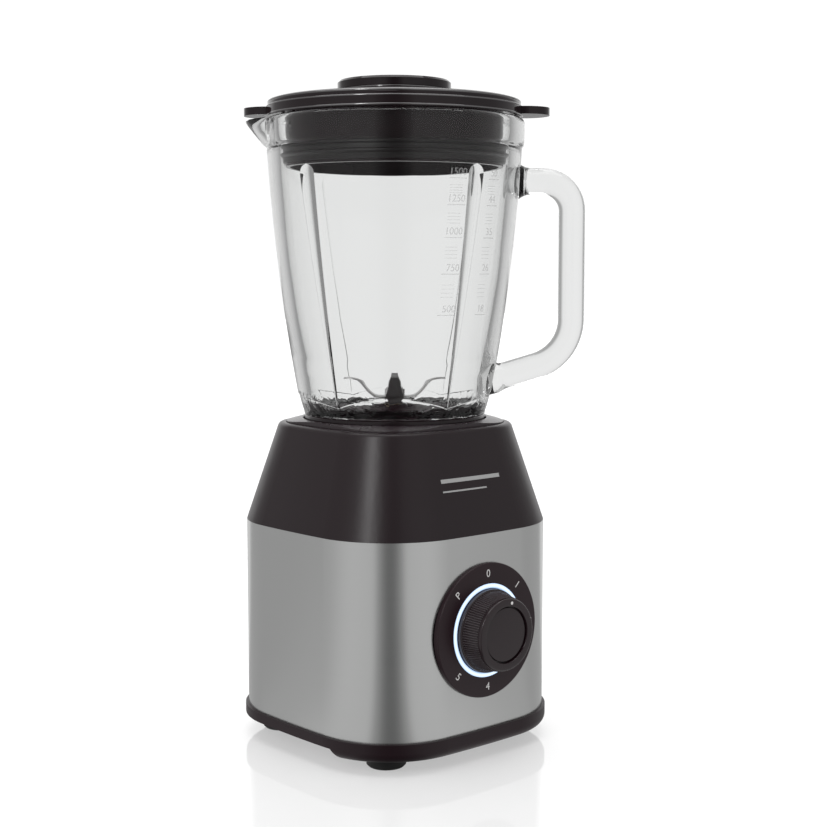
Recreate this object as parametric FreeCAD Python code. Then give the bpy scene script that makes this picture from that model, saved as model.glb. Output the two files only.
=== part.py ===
import FreeCAD, Part
import os
from math import atan2, cos, pi, radians, sin, sqrt

# A countertop blender: a square motor base, a fluted glass jug with its blades, and a press-in lid.
# Millimetres. +Z is up and -Y is the front, where the speed knob is. The origin is on the standing
# plane, under the axis that the motor, the blades and the jug share.

V = FreeCAD.Vector

# Base
STEEL_HALF = 80.0        # half width of the steel wrap
CORNER_SHARE = 0.65      # corner radius over half width
BOW_SHARE = 8.5          # radius of the slightly bowed faces over half width
PLATE_HALF = 81.7
PLATE_LOW, PLATE_TOP = 7.0, 18.2
PLATE_UNDER, PLATE_FLOOR = 12.5, 15.0   # the tray's floor stands inside a skirt
SKIRT = 6.0
STEEL_TOP = 132.8
STEEL_SHEET = 0.6
WALL = 2.5
SLEEVE_HALF = STEEL_HALF - STEEL_SHEET - 0.1
HOUSING_TOP = 192.0
HOUSING_TOP_HALF = 62.2
DECK_HALF = 58.3
DECK_TOP = 194.8
WELL_R = 55.8
WELL_FLOOR = 168.0
FOOT_R, FOOT_PLACE = 11.5, 50.0
SCREW_R = 2.1
GLAND_R, GLAND_Z = 7.2, 30.0

# Speed control, on the front face
DIAL_Z = 76.7
DIAL_R, DIAL_FRONT = 39.3, -82.2
DIAL_HOLE_R = 31.0
LIGHT_IN, LIGHT_OUT = 24.5, 27.3
KNOB_R, KNOB_FRONT_R = 24.3, 20.8
KNOB_BACK, KNOB_FRONT = -82.7, -98.0
CAP_FRONT, CAP_BACK = -96.3, -95.0
KNOB_SHAFT_R = 3.0
RUNNING = 0.05           # radial clearance of a running fit

# Motor and drive
SHAFT_R = 4.0
STATOR_LOW, STATOR_HIGH = 84.0, 122.0
ROTOR_R = 24.0
FAN_LOW, FAN_HIGH, FAN_R = 21.0, 33.0, 36.0
COMMUTATOR_LOW, COMMUTATOR_HIGH, COMMUTATOR_R = 52.0, 68.0, 14.0
HANG = 33.0              # place of the four motor hangers on X and Y
HANG_LOW = 142.0
STAR_R, STAR_TEETH = 11.0, 6
STAR_LOW, STAR_HIGH = 170.0, 177.0
PLUNGER_PLACE = 51.5
PLUNGER_R = 2.5

# Jug, lid and cap
HANDLE_TURN = -43.0      # direction of the handle, from +X; the spout is opposite
FLUTE_TURN = 50.0        # flutes stand this far to either side of handle and spout
COLLAR_R, COLLAR_LOW, COLLAR_TOP = 54.9, 172.0, 197.5
RIM_TOP = 373.3
NECK_R, NECK_IN, NECK_LOW = 46.0, 38.0, 184.6
JUG_OUTER = [(54.8, COLLAR_TOP), (58.5, 209.0), (61.0, 223.4), (68.0, 267.0), (72.7, 310.0), (76.3, 352.0)]
JUG_INNER = [(69.4, 370.0), (68.8, 345.0), (65.2, 310.0), (60.3, 267.0), (53.0, 224.0), (48.5, 211.0)]
HANDLE_ROD = 7.85
LID_R, LID_LOW, LID_TOP = 76.4, 374.1, 384.2
INSERT_R, INSERT_LOW = 65.2, 344.5
CAP_R, CAP_LOW, CAP_TOP = 34.0, 388.8, 395.8
CAP_SKIRT_R = 29.2


def turned(outline):
    """Solid of revolution about Z, from a closed outline of (radius, height) points."""
    points = [V(r, 0, z) for r, z in outline]
    face = Part.Face(Part.makePolygon(points + points[:1]))
    return face.revolve(V(0, 0, 0), V(0, 0, 1), 360)


def disc(radius, low, high, x=0.0, y=0.0):
    return Part.makeCylinder(radius, high - low, V(x, y, low))


def ring(outer, inner, low, high, x=0.0, y=0.0):
    return disc(outer, low, high, x, y).cut(disc(inner, low - 1, high + 1, x, y))


def block(width, depth, low, high, x=0.0, y=0.0):
    return Part.makeBox(width, depth, high - low, V(x - width / 2, y - depth / 2, low))


def facing(radius, front, back, x=0.0, z=DIAL_Z, back_radius=None):
    """Round piece about an axis along Y, from its front to its back."""
    origin, along = V(x, front, z), V(0, 1, 0)
    if back_radius is None:
        return Part.makeCylinder(radius, back - front, origin, along)
    return Part.makeCone(radius, back_radius, back - front, origin, along)


def spun(shape, degrees, centre=V(0, 0, 0), axis=V(0, 0, 1)):
    copy = shape.copy()
    copy.rotate(centre, axis, degrees)
    return copy


def around(shape, count, start=0.0):
    return [spun(shape, start + 360.0 * i / count) for i in range(count)]


def joined(shapes):
    whole = shapes[0]
    for shape in shapes[1:]:
        whole = whole.fuse(shape)
    return whole.removeSplitter()


def without(shape, cutters):
    for cutter in cutters:
        shape = shape.cut(cutter)
    return shape


def corners(place):
    return [(sx * place, sy * place) for sx in (-1, 1) for sy in (-1, 1)]


def square_outline(half, z):
    """Rounded square with slightly bowed sides: four side arcs and four corner arcs, all tangent."""
    corner, bow = half * CORNER_SHARE, half * BOW_SHARE
    offset = half - bow
    spare = offset ** 2 - (bow - corner) ** 2
    c = (2 * offset + sqrt(4 * offset ** 2 - 8 * spare)) / 4
    turn = atan2(c, c - offset)

    def on_corner(angle):
        return V(c + corner * sin(angle), -c - corner * cos(angle), z)

    start, end = on_corner(turn), on_corner(pi / 2 - turn)
    edges = []
    for quarter in range(4):
        side = Part.Arc(V(-start.x, start.y, z), V(0, -half, z), start).toShape()
        bend = Part.Arc(start, on_corner(pi / 4), end).toShape()
        edges += [spun(side, 90 * quarter), spun(bend, 90 * quarter)]
    return Part.Wire(edges)


def square_block(half, low, high, top_half=None):
    if top_half is None:
        return Part.Face(square_outline(half, low)).extrude(V(0, 0, high - low))
    return Part.makeLoft([square_outline(half, low), square_outline(top_half, high)], True, True)


def softened(shape, radius, z):
    """Fillet the edges that lie at one height."""
    edges = [e for e in shape.Edges
             if abs(e.BoundBox.ZMin - z) < 1e-3 and abs(e.BoundBox.ZMax - z) < 1e-3]
    return shape.makeFillet(radius, edges)


def housing_half(z):
    """Half width of the sloping upper housing at a height."""
    share = (z - STEEL_TOP) / (HOUSING_TOP - STEEL_TOP)
    return STEEL_HALF + share * (HOUSING_TOP_HALF - STEEL_HALF)


# Base casing

def rubber_feet():
    """Four soft feet, each with a plug that presses into the base plate."""
    outline = [(0, 0), (FOOT_R - 1.2, 0), (FOOT_R, 1.2), (FOOT_R, PLATE_LOW), (8.9, PLATE_LOW),
               (8.9, 9.6), (0, 9.6)]
    foot = turned(outline)
    return Part.makeCompound([foot.translated(V(x, y, 0)) for x, y in corners(FOOT_PLACE)])


def base_plate():
    """Moulded tray that closes the base, hollow below, its skirt relieved for air on the left side."""
    tray = softened(square_block(PLATE_HALF, PLATE_LOW, PLATE_TOP), 5.5, PLATE_LOW)
    tray = tray.cut(square_block(PLATE_HALF - 4.5, PLATE_FLOOR, PLATE_TOP + 1))
    tray = tray.cut(square_block(STEEL_HALF + 0.05, 16.8, PLATE_TOP + 1))
    tray = tray.cut(square_block(PLATE_HALF - SKIRT, PLATE_LOW - 1, PLATE_UNDER))
    tray = joined([tray] + [disc(12, PLATE_LOW, 17.9, x, y) for x, y in corners(FOOT_PLACE)])
    cutters = []
    for x, y in corners(FOOT_PLACE):
        cutters += [disc(9, 6, 10, x, y), disc(4.5, 9, 12.6, x, y), disc(SCREW_R + 0.2, 12, 19, x, y)]
    for slot in range(-3, 4):
        cutters.append(block(44, 3, PLATE_UNDER - 1, PLATE_FLOOR + 1, y=8.0 * slot))
    low = PLATE_LOW - 1
    relief = [V(-90, y, z) for y, z in ((-42, low), (-36, PLATE_UNDER), (62, PLATE_UNDER), (68, low))]
    cutters.append(Part.Face(Part.makePolygon(relief + relief[:1])).extrude(V(26, 0, 0)))
    return without(tray, cutters)


def steel_wrap():
    """Bent stainless sheet round the lower base, with holes for the dial and the cord gland."""
    low = 17.0
    sheet = square_block(STEEL_HALF, low, STEEL_TOP)
    sheet = sheet.cut(square_block(STEEL_HALF - STEEL_SHEET, low - 1, STEEL_TOP + 1))
    return without(sheet, [facing(DIAL_HOLE_R, -90, -70), facing(GLAND_R, 70, 90, z=GLAND_Z)])


def inner_frame():
    """Plain moulded sleeve behind the steel, with the four screw pillars."""
    low, high = PLATE_TOP + 0.2, STEEL_TOP
    sleeve = square_block(SLEEVE_HALF, low, high).cut(square_block(SLEEVE_HALF - WALL, low - 1, high + 1))
    pillars = []
    for x, y in corners(FOOT_PLACE):
        web = spun(block(26, 3, low, 120), 45.0 if x * y > 0 else -45.0)
        web.translate(V(x * 1.12, y * 1.12, 0))
        pillars += [disc(6, low, 120, x, y), web]
    pillars = joined(pillars).common(square_block(SLEEVE_HALF - WALL + 0.5, 10, high))
    holes = [disc(SCREW_R, 10, 40, x, y) for x, y in corners(FOOT_PLACE)]
    holes += [facing(DIAL_HOLE_R, -90, -70), facing(GLAND_R, 70, 90, z=GLAND_Z)]
    return without(joined([sleeve, pillars]), holes)


def motor_housing():
    """Moulded upper housing that slopes in to the jug's seat, open below and above."""
    low = STEEL_TOP + 0.05
    outside = softened(square_block(STEEL_HALF, low, HOUSING_TOP, HOUSING_TOP_HALF), 3.2, HOUSING_TOP)
    inner_top = HOUSING_TOP - 3.0
    hollow = square_block(STEEL_HALF - WALL - 0.7, low - 1, inner_top, housing_half(inner_top) - WALL - 0.3)
    return without(outside, [hollow, square_block(DECK_HALF + 0.3, 180, 200)])


def top_deck():
    """Moulded plate in the top of the housing: a raised ring round the well that holds the jug."""
    cone = turned([(0, 189), (70, 189), (70, 191.5), (WELL_R + 1.6, DECK_TOP), (0, DECK_TOP)])
    plate = cone.common(square_block(DECK_HALF, 188, 196))
    well = disc(WELL_R + 1.8, WELL_FLOOR - 3, 190)
    hangers = [disc(6, HANG_LOW, WELL_FLOOR - 2, x, y) for x, y in corners(HANG)]
    solid = joined([plate, well] + hangers)
    cutters = [disc(WELL_R, WELL_FLOOR, 200), disc(17.5, 160, 170)]
    cutters.append(disc(PLUNGER_R + 0.1, 160, 170, y=PLUNGER_PLACE))
    cutters += [disc(SCREW_R, HANG_LOW - 1, 158, x, y) for x, y in corners(HANG)]
    chamfer = [(WELL_R - 1, DECK_TOP - 1.3), (WELL_R + 1, DECK_TOP + 0.7), (WELL_R - 1, DECK_TOP + 0.7)]
    cutters.append(turned(chamfer))
    rib = block(3.0, 8, WELL_FLOOR - 1, 186, x=WELL_R - 0.9)
    return joined([without(solid, cutters)] + around(rib, 4, 45))


def base_screws():
    """Four screws under the feet that hold the base plate to the housing's pillars."""
    thread = SCREW_R - 0.02
    screw = turned([(0, 10.1), (4.2, 10.1), (4.2, 12.4), (thread, 12.4), (thread, 36), (0, 36)])
    return Part.makeCompound([screw.translated(V(x, y, 0)) for x, y in corners(FOOT_PLACE)])


def cord_gland():
    """Bushing in the rear wall that the mains lead passes through."""
    steps = ((9.5, 80.1, 83.0), (7.0, 66.0, 81.0), (9.0, 73.5, 76.5))
    gland = joined([facing(radius, front, back, z=GLAND_Z) for radius, front, back in steps])
    return gland.cut(facing(3.6, 60, 90, z=GLAND_Z))


# Speed control

def around_dial(shape):
    return [spun(shape, 45 * i, V(0, 0, DIAL_Z), V(0, 1, 0)) for i in range(8)]


def dial_plate():
    """Round front plate of the speed control, seated on the bowed steel."""
    face = facing(DIAL_R, DIAL_FRONT, -76.0).cut(square_block(STEEL_HALF + 0.02, 10, 140))
    plug = facing(DIAL_HOLE_R - 0.4, -81.0, -76.6)
    groove = facing(LIGHT_OUT, -83, -78.2).cut(facing(LIGHT_IN, -84, -77))
    holes = around_dial(facing(1.6, -79, -76, x=25.9))
    return without(joined([face, plug]), [groove, facing(6.0, -90, -70)] + holes)


def light_ring():
    """Clear ring in the dial that carries the light round the knob."""
    return facing(LIGHT_OUT - 0.05, DIAL_FRONT - 0.3, -78.3).cut(facing(LIGHT_IN + 0.05, -84, -77))


def led_board():
    """Ring board behind the dial, with eight small lamps that reach into its holes."""
    board = facing(29.5, -76.4, -74.8).cut(facing(8.0, -78, -73))
    return joined([board] + around_dial(facing(1.3, -78.2, -76.0, x=25.9)))


def rotary_switch():
    """Six-way switch behind the dial, with the threaded neck that its nut clamps."""
    case = Part.makeBox(34, 19, 34, V(-17, -74.6, DIAL_Z - 17))
    body = joined([case, facing(5.8, -86.0, -74.0)])
    tabs = [Part.makeBox(3, 6, 0.8, V(x - 1.5, -56, DIAL_Z + z)) for x in (-10, 0, 10) for z in (-9, 9)]
    return joined([body] + tabs).cut(facing(KNOB_SHAFT_R + RUNNING, -90, -62))


def switch_nut():
    """Hexagon nut that holds the switch against the dial plate."""
    corner_points = [V(8.5 * cos(radians(60 * i)), DIAL_FRONT - 2.6, DIAL_Z + 8.5 * sin(radians(60 * i)))
                     for i in range(7)]
    nut = Part.Face(Part.makePolygon(corner_points)).extrude(V(0, 2.5, 0))
    return nut.cut(facing(5.8, -90, -78))


def switch_shaft():
    return facing(KNOB_SHAFT_R, -93.0, -63.0)


def speed_knob():
    """Tapered knob with a skirt, hollow at the back, and a recess in front for its cap."""
    skirt = facing(KNOB_R, -85.0, KNOB_BACK)
    grip = facing(KNOB_FRONT_R, KNOB_FRONT, -85.0, back_radius=23.4)
    knob = joined([skirt, grip])
    knob = knob.makeFillet(1.2, [e for e in knob.Edges if abs(e.BoundBox.YMax - KNOB_FRONT) < 1e-3])
    bores = [facing(12.5, -88.5, -80), facing(KNOB_SHAFT_R, -93.0, -80), facing(16.6, -99, CAP_BACK)]
    return without(knob, bores)


def knob_cap():
    """Round inlay, sunk a little into the front of the knob."""
    cap = facing(16.2, CAP_FRONT, CAP_BACK)
    return cap.makeFillet(0.4, [e for e in cap.Edges if abs(e.BoundBox.YMax - CAP_FRONT) < 1e-3])


def control_board():
    """Upright board at the back with the speed electronics."""
    board = block(66, 1.6, 48, 104, y=58)
    parts = [block(14, 9, 52, 66, x=-20, y=53.3), block(10, 8, 52, 70, x=0, y=53.4)]
    parts.append(disc(5, 52, 70, x=20, y=52.3))
    return joined([board] + parts)


def heat_sink():
    """Finned aluminium block that cools the power switch on the board."""
    back = block(40, 2.4, 62, 96, y=60.2)
    fins = [block(1.4, 9.4, 62, 96, x=x, y=63.7) for x in range(-18, 19, 6)]
    return joined([back] + fins)


# Motor

def stator_core():
    """Stack of laminations with a round bore and two slots for the field coils."""
    outer = block(86, 72, STATOR_LOW, STATOR_HIGH)
    outer = outer.makeFillet(14, [e for e in outer.Edges if e.BoundBox.ZLength > 30])
    slots = [block(15, 50, STATOR_LOW - 1, STATOR_HIGH + 1, x=sx * 29.5) for sx in (-1, 1)]
    return without(outer, [disc(ROTOR_R + 0.6, STATOR_LOW - 1, STATOR_HIGH + 1)] + slots)


def field_coils():
    """Two wound coils that stand above and below the laminations."""
    outer = block(11, 46, STATOR_LOW - 9, STATOR_HIGH + 9, x=31.0)
    coil = outer.makeFillet(3, [e for e in outer.Edges if e.BoundBox.YLength < 1 and e.BoundBox.XLength > 5])
    return Part.makeCompound([coil, spun(coil, 180)])


def motor_frame(low, high, bearing_r, bearing_low, arms):
    """Cast bracket across one end of the stator, with a bearing seat and four legs on the core."""
    bridge = block(86, 20, low, high)
    cross = block(20, 64, low, high)
    seat = disc(bearing_r + 4, low, high)
    pieces = [bridge, cross, seat]
    if arms:
        for x, y in corners(HANG):
            arm = block(2 * abs(x) * 1.414, 12, low, high)
            pieces += [spun(arm, 45 if x * y > 0 else -45), disc(8, low, high, x, y)]
    near, far = (high, STATOR_LOW) if high < STATOR_LOW else (STATOR_HIGH, low)
    pieces += [block(6, 16, near, far, x=sx * 39.8) for sx in (-1, 1)]
    cutters = [disc(bearing_r, bearing_low, bearing_low + 7.0), disc(6.5, low - 1, high + 1)]
    return without(joined(pieces), cutters)


def motor_frame_lower():
    frame = motor_frame(38.0, 47.0, 9.5, 40.0, False)
    return frame.cut(ring(30, COMMUTATOR_R + 8, 46.9, 60))


def motor_frame_upper():
    frame = motor_frame(131.5, 138.5, 11.0, 131.5, True)
    return without(frame, [disc(SCREW_R + 0.3, 120, 150, x, y) for x, y in corners(HANG)])


def upper_bearing():
    return ring(11.0, SHAFT_R + RUNNING, 131.5, 138.5)


def lower_bearing():
    return ring(9.5, SHAFT_R + RUNNING, 40.0, 47.0)


def motor_mounts():
    """Four rubber bushes between the upper bracket and the hangers."""
    return Part.makeCompound([ring(7, SCREW_R + 0.3, 138.5, HANG_LOW, x, y) for x, y in corners(HANG)])


def motor_screws():
    """Four screws up through bracket and bushes into the hangers."""
    thread = SCREW_R - 0.02
    screw = turned([(0, 129.0), (4.6, 129.0), (4.6, 131.5), (thread, 131.5), (thread, 156), (0, 156)])
    return Part.makeCompound([screw.translated(V(x, y, 0)) for x, y in corners(HANG)])


def carbon_brushes():
    brush = Part.makeBox(14, 8, 6, V(COMMUTATOR_R + 0.3, -4, 57))
    return Part.makeCompound([spun(brush, a) for a in (90, 270)])


def brush_holders():
    """Two brass sleeves that guide the brushes, each on a small plate on the lower bracket."""
    sleeve = Part.makeBox(22, 11, 9, V(COMMUTATOR_R + 4, -5.5, 55.5))
    foot = Part.makeBox(8, 11, 9, V(COMMUTATOR_R + 10, -5.5, 47.0))
    holder = joined([sleeve, foot]).cut(Part.makeBox(40, 8.1, 6.1, V(COMMUTATOR_R, -4.05, 56.95)))
    return Part.makeCompound([spun(holder, a) for a in (90, 270)])


def motor_shaft():
    """Steel shaft through fan, bearings and core, up to the drive coupling."""
    return turned([(0, 19.5), (3.2, 19.5), (SHAFT_R, 20.3), (SHAFT_R, 173.0), (0, 173.0)])


def rotor_core():
    slots = around(block(3.0, 2.6, STATOR_LOW - 1, STATOR_HIGH + 1, x=ROTOR_R - 0.6), 12)
    return without(ring(ROTOR_R, SHAFT_R, STATOR_LOW, STATOR_HIGH), slots)


def armature_windings():
    """Wound end turns above and below the rotor's laminations."""
    upper = turned([(SHAFT_R, 122), (21, 122), (21.5, 125), (18, 129), (10, 129.5), (SHAFT_R, 126)])
    lower = turned([(SHAFT_R, 84), (21, 84), (21.5, 79), (17, 72), (11, 70), (SHAFT_R, 73)])
    return Part.makeCompound([upper, lower])


def commutator():
    bars = around(block(3.0, 0.6, COMMUTATOR_LOW - 1, COMMUTATOR_HIGH + 1, x=COMMUTATOR_R), 24)
    return without(ring(COMMUTATOR_R, SHAFT_R, COMMUTATOR_LOW, COMMUTATOR_HIGH), bars)


def cooling_fan():
    """Moulded fan that draws air down past the motor and out through the base."""
    hub = ring(9, SHAFT_R, FAN_LOW, FAN_HIGH)
    back = ring(FAN_R, 8, FAN_HIGH - 2, FAN_HIGH)
    blade = spun(block(27, 1.6, FAN_LOW, FAN_HIGH - 1.5, x=22.0), 14, V(9, 0, 0))
    return joined([hub, back] + around(blade, 9))


def air_duct():
    """Shroud round the fan, standing on the base plate and open to the slots beneath it."""
    wall = ring(FAN_R + 4.0, FAN_R + 1.8, PLATE_FLOOR, 35.5)
    lip = ring(FAN_R + 4.0, FAN_R - 2.0, 34.0, 35.5)
    return joined([wall, lip])


def star_wire(radius, z):
    """Outline of the drive star: rounded teeth with hollows between them."""
    half = pi / STAR_TEETH
    points = []
    for tooth in range(STAR_TEETH):
        for share, size in ((-0.42, 1.0), (0.42, 1.0), (0.72, 0.72), (1.28, 0.72)):
            angle = 2 * half * tooth + share * half
            points.append(V(size * radius * cos(angle), size * radius * sin(angle), z))
    return Part.makePolygon(points + points[:1])


def drive_coupling():
    """Six-toothed star on the motor shaft, standing up in the well."""
    hub = disc(15.0, 164.5, STAR_LOW)
    star = Part.Face(star_wire(STAR_R, STAR_LOW)).extrude(V(0, 0, STAR_HIGH - STAR_LOW))
    return joined([hub, star]).cut(disc(SHAFT_R, 160, 173.0))


# Jug switch

def micro_switch():
    """Safety switch under the deck that the jug closes through its plunger."""
    case = block(20, 9, 141, 154, y=PLUNGER_PLACE)
    strap = block(12, 2.0, 141, WELL_FLOOR - 3, y=PLUNGER_PLACE + 5.5)
    return joined([case, disc(1.2, 153, 156.7, y=PLUNGER_PLACE), strap])


def interlock_plunger():
    pin = turned([(0, 157), (PLUNGER_R, 157), (PLUNGER_R, 160), (3.9, 160), (3.9, 161.8),
                  (PLUNGER_R, 161.8), (PLUNGER_R, 170.7), (1.5, 171.7), (0, 171.7)])
    return pin.translated(V(0, PLUNGER_PLACE, 0))


def interlock_spring():
    """Return spring under the plunger's collar, as a tube of the coil's size."""
    return ring(3.6, 2.7, 154.3, 159.9, y=PLUNGER_PLACE)


# Jug

def wall_radius(profile, z):
    """Radius of a jug profile at a height, between its two nearest points."""
    points = sorted(profile, key=lambda p: p[1])
    for (r0, z0), (r1, z1) in zip(points, points[1:]):
        if z <= z1:
            return r0 + (r1 - r0) * (z - z0) / (z1 - z0)
    return points[-1][0]


def jug_body():
    """Thick glass wall, turned: neck, foot, flared wall, neck ring and rolled rim."""
    outer = Part.BSplineCurve()
    outer.interpolate([V(r, 0, z) for r, z in JUG_OUTER])
    inner = Part.BSplineCurve()
    inner.interpolate([V(r, 0, z) for r, z in JUG_INNER])
    up = [(76.3, 352.0), (76.6, 355.6), (77.5, 357.3), (78.1, 369.8)]
    rim = Part.Arc(V(78.1, 0, 369.8), V(77.1, 0, 372.3), V(74.6, 0, RIM_TOP)).toShape()
    lip = Part.Arc(V(72.4, 0, RIM_TOP), V(70.3, 0, 372.3), V(69.4, 0, 370.0)).toShape()
    floor = [(48.5, 211.0), (42.5, 203.2), (NECK_IN, 199.0), (NECK_IN, NECK_LOW), (NECK_R, NECK_LOW),
             (NECK_R, COLLAR_TOP), (54.8, COLLAR_TOP)]
    edges = [outer.toShape()]
    edges += Part.makePolygon([V(r, 0, z) for r, z in up]).Edges
    edges += [rim, Part.makeLine(V(74.6, 0, RIM_TOP), V(72.4, 0, RIM_TOP)), lip, inner.toShape()]
    edges += Part.makePolygon([V(r, 0, z) for r, z in floor]).Edges
    face = Part.Face(Part.Wire(Part.__sortEdges__(edges)))
    return face.revolve(V(0, 0, 0), V(0, 0, 1), 360)


def tapered_rod(low_point, low_radius, high_point, high_radius):
    """Cone between two (radius, height) points in the XZ plane, with a round upper end."""
    a, b = V(low_point[0], 0, low_point[1]), V(high_point[0], 0, high_point[1])
    cone = Part.makeCone(low_radius, high_radius, (b - a).Length, a, b - a)
    return cone.fuse(Part.makeSphere(high_radius, b))


def flute_groove():
    """Cutter for one outer flute: a point near the foot that widens to a round arch."""
    low, high = 205.0, 337.5
    start = (wall_radius(JUG_OUTER, low) + 1.2, low)
    return tapered_rod(start, 1.0, (wall_radius(JUG_OUTER, high) + 2.6, high), 6.1)


def flute_rib():
    """The matching rib inside the wall."""
    low, high = 214.0, 336.5
    start = (wall_radius(JUG_INNER, low) + 2.0, low)
    return tapered_rod(start, 3.0, (wall_radius(JUG_INNER, high) + 2.0, high), 5.8)


def jug_handle():
    """Solid glass rod bent into a closed handle, in the XZ plane."""
    top, reach = 336.7, 106.65
    bend, low_bend = 17.85, 29.7
    low_z, slope = 254.3, radians(17)
    top_start, top_end = V(71.5, 0, top), V(reach - bend, 0, top)
    side_start, side_end = V(reach, 0, top - bend), V(reach, 0, low_z)
    centre = V(reach - low_bend, 0, low_z)

    def on_bend(angle):
        return centre + V(low_bend * cos(angle), 0, -low_bend * sin(angle))

    full = pi / 2 - slope
    leave = on_bend(full)
    root = leave + V(-cos(slope), 0, -sin(slope)) * 29.5
    quarter = V(reach - bend, 0, top - bend) + V(cos(pi / 4), 0, sin(pi / 4)) * bend
    path = Part.Wire([
        Part.makeLine(top_start, top_end),
        Part.Arc(top_end, quarter, side_start).toShape(),
        Part.makeLine(side_start, side_end),
        Part.Arc(side_end, on_bend(full / 2), leave).toShape(),
        Part.makeLine(leave, root),
    ])
    section = Part.Wire([Part.makeCircle(HANDLE_ROD, top_start, V(1, 0, 0))])
    rod = path.makePipeShell([section], True, True)
    inward = V(-cos(slope), 0, -sin(slope))
    swell = Part.makeCone(HANDLE_ROD, 9.4, 17, root - inward * 17, inward)
    return rod.fuse(swell)


def spout_wedge(reach, half_width, low, high, root):
    """Wedge that opens upwards from the wall to a rounded lip, in the XZ plane."""
    def level(tip, half, z):
        nose = half * 0.28
        return Part.Wire([
            Part.makeLine(V(root, half, z), V(root, -half, z)),
            Part.makeLine(V(root, -half, z), V(tip - nose, -nose, z)),
            Part.Arc(V(tip - nose, -nose, z), V(tip, 0, z), V(tip - nose, nose, z)).toShape(),
            Part.makeLine(V(tip - nose, nose, z), V(root, half, z)),
        ])
    foot = level(root + 5.0, half_width * 0.45, low)
    return Part.makeLoft([foot, level(reach, half_width, high)], True, True)


def jug_glass():
    """Pressed glass jug: fluted wall, solid handle and a pouring lip opposite it."""
    body = jug_body()
    turns = [HANDLE_TURN + side + offset for side in (0, 180) for offset in (-FLUTE_TURN, FLUTE_TURN)]
    body = joined([body] + [spun(flute_rib(), a) for a in turns])
    body = without(body, [spun(flute_groove(), a) for a in turns])
    handle = spun(jug_handle(), HANDLE_TURN)
    spout = spun(spout_wedge(90.3, 23.0, 355.0, 372.6, 71.5), HANDLE_TURN + 180)
    channel = spun(spout_wedge(86.0, 18.5, 360.0, 374.0, 66.0), HANDLE_TURN + 180)
    return without(joined([body, handle, spout]), [channel])


def jug_collar():
    """Ring that screws on below the jug and clamps the blade seat; its slots key into the well."""
    outline = [(COLLAR_R, COLLAR_LOW), (COLLAR_R, COLLAR_TOP - 0.8), (COLLAR_R - 0.8, COLLAR_TOP),
               (NECK_R + 0.2, COLLAR_TOP), (NECK_R + 0.2, 180), (36, 180), (36, 176.5), (48, 176.5),
               (48, COLLAR_LOW)]
    slots = around(block(6.0, 9.2, COLLAR_LOW - 1, 188, x=COLLAR_R), 4, 45)
    return without(turned(outline), slots)


def blade_seat():
    """Moulded plug that closes the jug's neck and carries the blade bearing."""
    return turned([(7, 183), (34, 183), (34, 180), (NECK_R + 0.1, 180), (NECK_R + 0.1, 183),
                   (NECK_IN - 0.4, 183), (NECK_IN - 0.4, 196.5), (33, 199.0), (15, 200.0),
                   (12, 203.5), (7, 203.5)])


def blade_seal():
    return ring(NECK_R - 0.1, NECK_IN - 0.2, 183.0, NECK_LOW)


def shaft_bush():
    return ring(7, SHAFT_R + RUNNING, 183.0, 204.0)


def blade_shaft():
    return turned([(0, 177.7), (SHAFT_R, 177.7), (SHAFT_R, 212.0), (3.2, 212.8), (0, 212.8)])


def wing(root_z, bend_at, reach, rise, width, tip_width):
    """One blade wing along +X: flat to its bend, then rising to a narrower tip."""
    thick = 1.8
    lift = rise / (reach - bend_at)
    side = [V(0, -20, root_z), V(bend_at, -20, root_z), V(reach, -20, root_z + rise),
            V(reach - thick * lift, -20, root_z + rise + thick),
            V(bend_at - thick * lift * 0.5, -20, root_z + thick), V(0, -20, root_z + thick)]
    strip = Part.Face(Part.makePolygon(side + side[:1])).extrude(V(0, 40, 0))
    plan = [V(0, -width / 2, 190), V(bend_at, -width / 2, 190), V(reach - 3, -tip_width / 2, 190),
            V(reach + 1, tip_width / 2 - 2, 190), V(reach - 4, width / 2 - 1, 190),
            V(bend_at, width / 2, 190), V(0, width / 2, 190)]
    return strip.common(Part.Face(Part.makePolygon(plan + plan[:1])).extrude(V(0, 0, 60)))


def blade(root_z, bend_at, reach, rise, width, tip_width, heading):
    """Two-winged blade with a round hub, bored for the shaft."""
    one = wing(root_z, bend_at, reach, rise, width, tip_width)
    whole = joined([one, spun(one, 180), disc(9.5, root_z, root_z + 1.8)])
    return spun(whole.cut(disc(SHAFT_R, 190, 230)), heading)


def upper_blade():
    return blade(206.8, 12.0, 31.0, 12.0, 14.0, 7.0, -40.9)


def lower_blade():
    return blade(204.9, 13.0, 22.0, 16.0, 13.0, 4.0, 49.1)


def blade_washer():
    return ring(8.5, SHAFT_R, 204.2, 204.9)


def blade_nut():
    """Domed nut that clamps both blades on the shaft."""
    points = [V(6.4 * cos(radians(60 * i)), 6.4 * sin(radians(60 * i)), 208.6) for i in range(7)]
    nut = Part.Face(Part.makePolygon(points)).extrude(V(0, 0, 4.2))
    dome = turned([(0, 212.0), (5.4, 212.0), (5.0, 213.6), (3.4, 214.8), (0, 215.3)])
    return without(joined([nut, dome]), [blade_shaft()])


def driven_coupling():
    """Cup below the blade shaft, with a socket that drops over the drive star."""
    cup = disc(16.0, 170.6, 181.2)
    socket = Part.Face(star_wire(STAR_R + 0.5, 170)).extrude(V(0, 0, STAR_HIGH + 0.6 - 170))
    mouth = turned([(0, 170), (12.6, 170), (11.4, 171.4), (0, 171.4)])
    return without(cup, [socket, disc(SHAFT_R, 177.65, 190), mouth])


# Lid

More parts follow.
